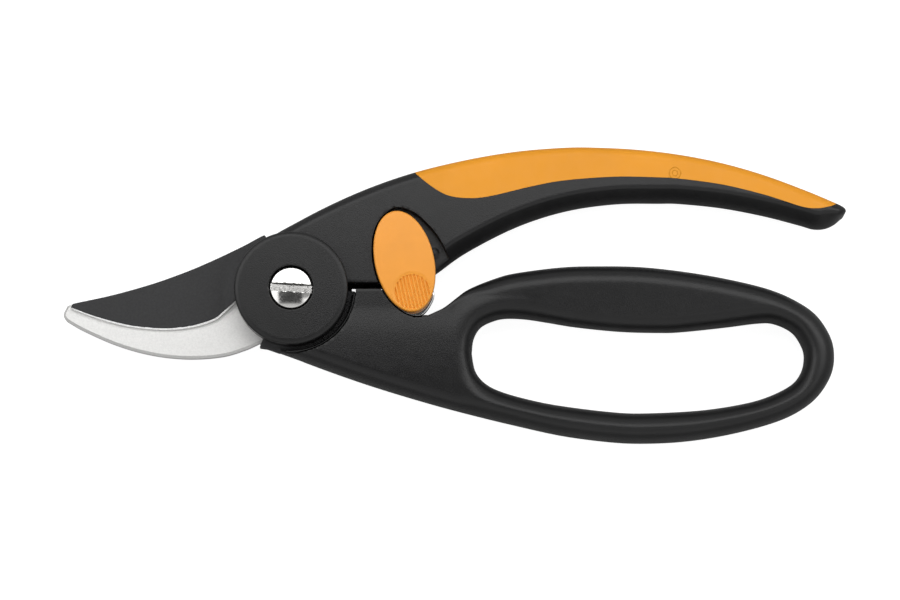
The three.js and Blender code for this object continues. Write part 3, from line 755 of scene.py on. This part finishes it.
def lower_handle_field(x, y, z):
    edge, hole = LOWER(x, y), HOLE(x, y)
    near_loop = np.maximum(1 - ramp(4.4, 9.0, hole), ramp(50, 66, x))
    bottom = BACK_Z + 0.4 * (1 - near_loop)
    top = FRONT_Z + (LOOP_Z[1] - FRONT_Z) * near_loop
    half, mid = (top - bottom) / 2, (top + bottom) / 2
    past = -edge - 5.2 + 1.2 * ramp(-20, -30, y)
    half = half - FACE_SLOPE * ramp(46, 66, x) * (past + np.sqrt(past * past + 1.5)) / 2
    crisp = (1 - ramp(40, 56, x)) * ramp(-15, -6, y)
    side = 4.2 + 1.3 * ramp(-30, -20, y) * ramp(46, 66, x) - 3.75 * crisp
    rise = half * (1 - crisp) + 0.45 * crisp
    loop_side, power = 4.2 + 1.2 * ramp(-20, -28, y), 2.25
    u = np.maximum(side + edge, 0) / side
    w = np.maximum(loop_side - hole, 0) / loop_side
    v = np.maximum(abs(z - mid) - (half - rise), 0) / rise
    body = ((u ** power + w ** power + v ** power) ** (1 / power) - 1) * np.minimum(side, rise)
    r = np.hypot(x, y)
    above_shelf = both(r - LOOP_ARC_R, either(SHELF_Z - z, SHELF_END_Y - y))
    body = without(body, either(r - SHELF_R, above_shelf), 0.3)
    body = without(body, both(r - HOOK_RELIEF_R, z - BLADE_Z[0] + 0.1))
    notch = either(NOTCH_ROOM(x, y), both(disc(x, y, NOTCH_R, LOCK), NOTCH_END_X - x))
    body = without(body, both(notch, RECESS_FLOOR_Z - z, 0.25), 0.2)
    for node in ("blade_dowel_1", "blade_dowel_2"):
        room = both(disc(x, y, DOWEL_ROOM_R, centre(node)), z - high(node, 2) - 0.3)
        body = without(body, room, 0.25)
    return body


def lower_handle():
    piece = contoured("finger_loop_handle", lower_handle_field, (-5, -42, LOOP_Z[0]),
                      (147, 7, LOOP_Z[1]), FINE)
    settle(piece, "lower_lever", nylon_material, "black_nylon", "lower_handle")


def hub_bead():
    """The fine bead along the foot of the lower handle's hollow, with a groove outside it."""
    crown, groove_z = 0.14, BEAD_TOP_Z - 1.4
    wall_r = LOOP_ARC_R + 0.1
    profile = [
        (wall_r, SHELF_Z - 0.3), (wall_r, groove_z), (BEAD_R + 0.26, groove_z),
        *arc(BEAD_R + 0.12, BEAD_TOP_Z - crown, crown, 0, 180, 7),
        (BEAD_R - crown, BEAD_TOP_Z - 0.6), (SHELF_R, SHELF_Z + 0.1), (SHELF_R, SHELF_Z - 0.3),
    ]
    settle(swept("hub_bead", profile, -5.3, -94, 90), "lower_lever", nylon_material, "black_nylon")


# ---- blades -----------------------------------------------------------------------------------
BLADE_SPINE = curve([
    (-7.3, 15.2), (-8.4, 14.9), (-14.7, 11.5), (-26.1, 6.3), (-37.4, 2.15), (-48.8, -1.05),
    (-58.5, -3.15), (-59.4, -3.45), (-60.0, -4.3),
])
BLADE_EDGE = curve([
    (-60.0, -4.4), (-52.6, -7.0), (-45, -9.0), (-37.4, -9.9), (-31.8, -9.9), (-26.1, -9.1),
    (-21.2, -7.5), (-18.9, -5.8), (-17, -4.1), (-14.3, -1.7),
])
BLADE_TANG = [
    (17.4, -0.4), (21.5, -4.6), (29, -11), (37, -17), (40.5, -20.5), (40.0, -24), (36.4, -25.6),
    (28, -24.4), (17, -21.6), (7.6, -18.2), (2.0, -17.0),
]
BLADE = Region([
    *BLADE_SPINE, *BLADE_EDGE, *arc(0, 0, BLADE_DISC_R - 0.2, 188, 239, 12), (-8.6, -15.5),
    (-6.5, -15.8), (-3.4, -16.9), (0.6, -17.1), *reversed(BLADE_TANG),
    *arc(0, 0, BLADE_DISC_R + 2.7, -1.2, -0.6, 2), *arc(0, 0, BLADE_DISC_R, 0, 115, 40),
], step=0.2)


def cutting_blade():
    """The jaw thins from its spine to its cutting edge, as ground."""
    bottom, top = BLADE_Z

    def field(x, y, z):
        r = np.hypot(x, y)
        thinner = JAW_SLOPE * np.maximum(JAW_FULL_Y - y, 0)
        thinner = thinner * ramp(15.0, 19.0, r) * (1 - ramp(-12, -8, x))
        body = both(both(BLADE(x, y), z - top + thinner, 0.2), bottom - z)
        return without(body, r - BLADE_BORE_R)

    piece = contoured("coated_blade", field, (-60, -26, bottom), (41, 16, top), FINE * 0.8, crease=40)
    settle(piece, "lower_lever", blade_coating(), "coated_blade", "cutting_blade")

    line = np.array(BLADE_EDGE[:-2])
    along = np.gradient(line, axis=0)
    outward = np.stack([-along[:, 1], along[:, 0]], 1)
    outward *= -1 / np.linalg.norm(outward, axis=1, keepdims=True)
    height = top - JAW_SLOPE * (JAW_FULL_Y - line[:, 1])
    width = GROUND_HIGHLIGHT_WIDTH * np.sin(np.linspace(0.15, math.pi - 0.3, len(line))) ** 0.5
    verts, faces = [], []
    # The strip's outer wall runs down to the blade's underside in the same near-white, so the hook beside
    # it reflects brightness instead of shade: painted highlight.
    for shift, z in ((-0.3, height - 0.05), (0.1 * width, height - 0.05), (width, height - 0.2),
                     (width, bottom - 0.1 + 0 * height), (-0.3, bottom - 0.1 + 0 * height)):
        loop = line + outward * np.broadcast_to(shift, (len(line),))[:, None]
        verts += [(px, py, pz) for (px, py), pz in zip(loop, z)]
    n = len(line)
    for a in range(5):
        b = (a + 1) % 5
        faces += [(a * n + i, b * n + i, b * n + i + 1, a * n + i + 1) for i in range(n - 1)]
    faces += [tuple(a * n for a in range(5)), tuple(a * n + n - 1 for a in reversed(range(5)))]
    settle(finish_mesh("ground_cutting_edge_highlight", verts, faces), "lower_lever", ground_edge_painted_highlight(),
           "coated_blade")


def hook_blade():
    outer = curve([
        (-61.0, -3.7), (-62.0, -5.9), (-61.5, -7.4), (-60.0, -8.5), (-56.4, -10.5), (-48.8, -13.9),
        (-41.3, -16.3), (-33.7, -17.7), (-26.1, -18.1), (-18.5, -17.4), (-12.8, -15.7),
        (-9.4, -14.2),
    ])
    inner = curve([
        (-14.0, 2.0), (-17.2, -1.4), (-21.2, -5.0), (-26.1, -6.9), (-31.8, -7.8), (-37.4, -7.8),
        (-45, -6.9), (-52.6, -5.0), (-57.6, -3.6), (-60.0, -3.3),
    ])
    along, across = Vector((0.92, 0.392)), Vector((-0.392, 0.92))
    start = Vector((4, 6))
    tang = [start + along * a + across * b for a, b in
            ((12, -4.6), (32, -4.6), (36, -0.6), (36, 1.6), (33, 4.6), (12, 4.6))]
    outline = [
        *outer, *arc(0, 0, HOOK_DISC_R, 242, 370, 50), *[tuple(p) for p in tang],
        *arc(0, 0, HOOK_DISC_R, 60, 165, 40), *inner,
    ]

    def rounding(x, y):
        outside = min(math.hypot(x - px, y - py) for px, py in outer) < 0.3
        return 0.65 if outside else 0.12

    hole = arc(0, 0, BLADE_BORE_R, 0, 360, 65)[:-1]
    piece = plate("steel_hook", outline, HOOK_Z, rounding, 0.3, holes=[hole], steps=1)
    settle(piece, "upper_lever", hook_steel(), "hook_steel", "hook_blade")


# ---- pivot ------------------------------------------------------------------------------------
def hub_cap():
    bottom, top = CAP_Z
    hole, rim_width, rim_height = 6.1, 1.5, 0.85
    profile = [
        (hole, bottom), (CAP_R - 0.2, bottom), (CAP_R, bottom + 0.2),
        *[(CAP_R - rim_width * (1 - math.cos(t)), top - rim_height * (1 - math.sin(t)))
          for t in np.radians(np.linspace(0, 90, 12))],
        *arc(hole + 0.25, top - 0.25, 0.25, 90, 180, 5),
    ]
    piece = lathed("hub_cover", profile, segments=192)
    settle(piece, "upper_lever", cap_nylon(), "black_nylon", "hub_cap")


def pivot_bolt():
    top = high("pivot_bolt", 2)
    sphere_r = (HEAD_R ** 2 + HEAD_DOME ** 2) / (2 * HEAD_DOME)

    def field(x, y, z):
        r = np.hypot(x, y)
        cup = np.sqrt(r * r + (z - top + sphere_r) ** 2) - sphere_r
        head = both(both(r - HEAD_R, cup, 0.3), HEAD_BOTTOM_Z - z, 0.1)
        shank = both(r - SHANK_R, slab(z, HOOK_Z[0] + 0.1, HEAD_BOTTOM_Z + 0.3))
        thread = both(r - THREAD_R, slab(z, BACK_Z, HOOK_Z[0] + 0.7), 0.25)
        bolt = either(either(head, shank), thread)
        across = -x * math.sin(DRIVE_SLOT_LEAN) + y * math.cos(DRIVE_SLOT_LEAN)
        slot = both(abs(across) - DRIVE_SLOT[0] / 2, top - DRIVE_SLOT[1] - z)
        return without(bolt, slot, 0.06)

    piece = contoured("slotted_bolt", field, (-HEAD_R, -HEAD_R, BACK_Z), (HEAD_R, HEAD_R, top),
                      FINEST, crease=38)
    settle(piece, "upper_lever", polished_steel(), "bolt_steel", "pivot_bolt")


def pivot_nut():
    outline = arc(0, 0, NUT_FLATS / math.sqrt(3), 0, 360, 7)[:-1]
    corner = []
    for (ax, ay), (bx, by) in zip(outline, outline[1:] + outline[:1]):
        corner += [(ax + (bx - ax) * t, ay + (by - ay) * t) for t in (0.06, 0.5, 0.94)]
    hole = arc(0, 0, THREAD_R + 0.1, 0, 360, 49)[:-1]
    piece = plate("hexagon_nut", corner, (BACK_Z, NUT_TOP_Z), 0.2, 0.35, holes=[hole], crease=30)
    settle(piece, "upper_lever", plated_material, "zinc_steel", "pivot_nut")


def dowel(node, body):
    bottom, top, r = low(node, 2), high(node, 2), radius(node)
    profile = [(0, bottom), (r - 0.4, bottom), (r, bottom + 0.4), (r, top - 0.4), (r - 0.4, top), (0, top)]
    piece = lathed(f"{node}_pin", profile, centre(node), 48)
    settle(piece, body, plated_material, "zinc_steel", node)


# ---- safety lock --------------------------------------------------------------------------------
BUTTON = Region(oval(*OVAL, *OVAL_HALF, OVAL_LEAN, 160), step=0.15, margin=2)


def lock_button():
    bottom, top = BUTTON_Z
    lean = math.radians(OVAL_LEAN)

    def field(x, y, z):
        crown = 0.28 * (np.hypot(x - OVAL[0], y - OVAL[1]) / OVAL_HALF[1]) ** 2
        body = both(both(BUTTON(x, y), z - top + crown, 0.55), bottom - z, 0.1)
        u = (x - THUMB[0]) * math.cos(lean) + (y - THUMB[1]) * math.sin(lean)
        v = np.hypot(x - THUMB[0], y - THUMB[1])
        dish = both(v - THUMB_R, top - 0.3 - z + 0.008 * v * v, 0.3)
        wave = RIB_WAVE * np.cos(2 * math.pi * u / RIB_PITCH)
        ribs = both(top - RIB_SINK - z + wave, v - THUMB_R + 0.4, 0.25)
        return without(without(body, dish, 0.42), ribs, 0.06)

    piece = contoured("oval_lock_button", field, (OVAL[0] - 9, OVAL[1] - 15, bottom),
                      (OVAL[0] + 9, OVAL[1] + 15, top), FINEST * 1.2, crease=44)
    settle(piece, "lock_lever", button_plastic(), "orange_button", "lock_button")


def lock_plate():
    outline = [
        *curve([(27.8, -4.3), (28.2, -4.7), (29.6, -5.8), (31.4, -6.8), (33.3, -7.3), (34.9, -7.3),
                (36.0, -6.6), (37.1, -5.3), (37.9, -3.9), (38.5, -2.5), (38.6, -1.0), (37.9, 1.5),
                (36.4, 7), (34.4, 14.5)]),
        *arc(*LOCK, PLATE_END_R, 0, 180, 24),
        *curve([(24.6, 8), (26.0, 1.5), (27.0, -2.6)]),
    ]
    hole = arc(*LOCK, PLATE_BORE_R, 0, 360, 49)[:-1]
    piece = plate("steel_lock_plate", outline, PLATE_Z, 0.35, 0.15, holes=[hole], steps=4)
    settle(piece, "lock_lever", sheet_steel(), "plate_steel", "lock_plate")


# ---- kept CAD nodes -----------------------------------------------------------------------------
def dress(node, material):
    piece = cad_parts[node]
    piece.data.materials.clear()
    piece.data.materials.append(material)


# ---- stage --------------------------------------------------------------------------------------
LOW_LIGHT = 0.48                            # radiance of the room near the horizon
OVERHEAD_LIGHT = 0.05                       # and above, where the camera stands
FLOOR_BOUNCE = 0.34                         # grey of the floor as the tool sees it
FLOOR_SEEN = 0.3                            # as the camera sees it, where it also glows
FLOOR_GLOW = 0.9


def camera():
    box_low, box_high = cad_box
    middle = (box_low + box_high) / 2
    target = middle + Vector((-0.0013, -0.00206, 0.00506))
    view_width, distance, elevation = 0.243, 1.2, math.radians(81.5)
    data = bpy.data.cameras.new("camera")
    data.sensor_width = 36
    data.lens = data.sensor_width * distance / view_width
    data.clip_start, data.clip_end = 0.05, 20
    made = bpy.data.objects.new("camera", data)
    bpy.context.scene.collection.objects.link(made)
    back = Vector((0, -math.cos(elevation), math.sin(elevation)))
    made.location = target + back * distance
    made.rotation_mode = "QUATERNION"
    made.rotation_quaternion = (-back).to_track_quat("-Z", "Y")
    bpy.context.scene.camera = made


def panel(name, x, y, z, radiance):
    """A soft light facing straight down, from x[0] to x[1] and y[0] to y[1] at height z."""
    data = bpy.data.lights.new(name, "AREA")
    data.shape = "RECTANGLE"
    data.size, data.size_y = x[1] - x[0], y[1] - y[0]
    data.energy = radiance * math.pi * data.size * data.size_y
    made = bpy.data.objects.new(name, data)
    bpy.context.scene.collection.objects.link(made)
    made.location = ((x[0] + x[1]) / 2, (y[0] + y[1]) / 2, z)


def stage():
    scene = bpy.context.scene
    scene.view_settings.view_transform = "Standard"
    scene.view_settings.look = "None"
    world = bpy.data.worlds.new("studio")
    world.use_nodes = True
    tree = world.node_tree
    dim = tree.nodes["Background"]
    dim.inputs["Color"].default_value = (1, 1, 1, 1)
    direction = tree.nodes.new("ShaderNodeTexCoord")
    split = tree.nodes.new("ShaderNodeSeparateXYZ")
    tree.links.new(direction.outputs["Generated"], split.inputs[0])
    fade = map_range(tree, split.outputs["Z"], 0.4, 0.85, LOW_LIGHT, OVERHEAD_LIGHT)
    far_side = map_range(tree, split.outputs["Y"], -0.7, 0.7, 0.7, 1.3)
    strength = tree.nodes.new("ShaderNodeMath")
    strength.operation = "MULTIPLY"
    tree.links.new(fade, strength.inputs[0])
    tree.links.new(far_side, strength.inputs[1])
    tree.links.new(strength.outputs[0], dim.inputs["Strength"])
    white = tree.nodes.new("ShaderNodeBackground")
    white.inputs["Color"].default_value = (1, 1, 1, 1)
    path = tree.nodes.new("ShaderNodeLightPath")
    mix = tree.nodes.new("ShaderNodeMixShader")
    tree.links.new(path.outputs["Is Camera Ray"], mix.inputs[0])
    tree.links.new(dim.outputs[0], mix.inputs[1])
    tree.links.new(white.outputs[0], mix.inputs[2])
    tree.links.new(mix.outputs[0], tree.nodes["World Output"].inputs["Surface"])
    scene.world = world

    height = 0.22
    far, far_gap, near_gap, near = (height * math.tan(math.radians(t)) for t in (44, 9.5, -19.5, -79))
    left, left_gap, right_gap, right_split, right, border = -0.45, -0.095, 0.073, 0.24, 0.55, -0.04
    panel("panel_far", (left, right), (far_gap, far), height, 2.3)
    panel("panel_near", (left, right), (near, near_gap), height, 0.6)
    panel("panel_left", (left, left_gap), (near_gap, far_gap), height, 1.3)
    panel("panel_right", (right_split, right), (near_gap, far_gap), height, 1.3)
    panel("panel_right_near", (right_gap, right_split), (near_gap, border), height, 1.2)
    panel("panel_right_far", (right_gap, right_split), (border, far_gap), height, 0.25)

    mesh = bpy.data.meshes.new("floor")
    reach = 6.0
    drop = -0.0002
    mesh.from_pydata([(-reach, -reach, drop), (reach, -reach, drop), (reach, reach, drop),
                      (-reach, reach, drop)], [], [(0, 1, 2, 3)])
    floor = bpy.data.objects.new("floor", mesh)
    scene.collection.objects.link(floor)
    made = Finish("floor", (FLOOR_BOUNCE,) * 3, 0.9)
    tree = made.tree
    bright = tree.nodes.new("ShaderNodeBsdfDiffuse")
    bright.inputs["Color"].default_value = (FLOOR_SEEN, FLOOR_SEEN, FLOOR_SEEN, 1)
    glow = tree.nodes.new("ShaderNodeEmission")
    glow.inputs["Strength"].default_value = FLOOR_GLOW
    add = tree.nodes.new("ShaderNodeAddShader")
    path = tree.nodes.new("ShaderNodeLightPath")
    mix = tree.nodes.new("ShaderNodeMixShader")
    tree.links.new(bright.outputs[0], add.inputs[0])
    tree.links.new(glow.outputs[0], add.inputs[1])
    tree.links.new(path.outputs["Is Camera Ray"], mix.inputs[0])
    tree.links.new(made.shader.outputs[0], mix.inputs[1])
    tree.links.new(add.outputs[0], mix.inputs[2])
    tree.links.new(mix.outputs[0], tree.nodes["Material Output"].inputs["Surface"])
    mesh.materials.append(made.material)


# ---- build --------------------------------------------------------------------------------------
camera()
stage()
nylon_material = nylon()
plated_material = plated_steel()
upper_handle()
lower_handle()
hub_bead()
cutting_blade()
hook_blade()
hub_cap()
pivot_bolt()
pivot_nut()
lock_button()
lock_plate()
for pin, lever in (("hook_dowel_1", "upper_lever"), ("hook_dowel_2", "upper_lever"),
                   ("blade_dowel_1", "lower_lever"), ("blade_dowel_2", "lower_lever"),
                   ("catch_pin", "lower_lever")):
    dowel(pin, lever)
dress("pivot_bushing", bearing_bronze())
dress("head_washer", plated_material)
dress("nut_washer", plated_material)
dress("lock_pin", plated_material)
wire_material = spring_wire()
dress("return_spring", wire_material)
dress("lock_washer", wire_material)
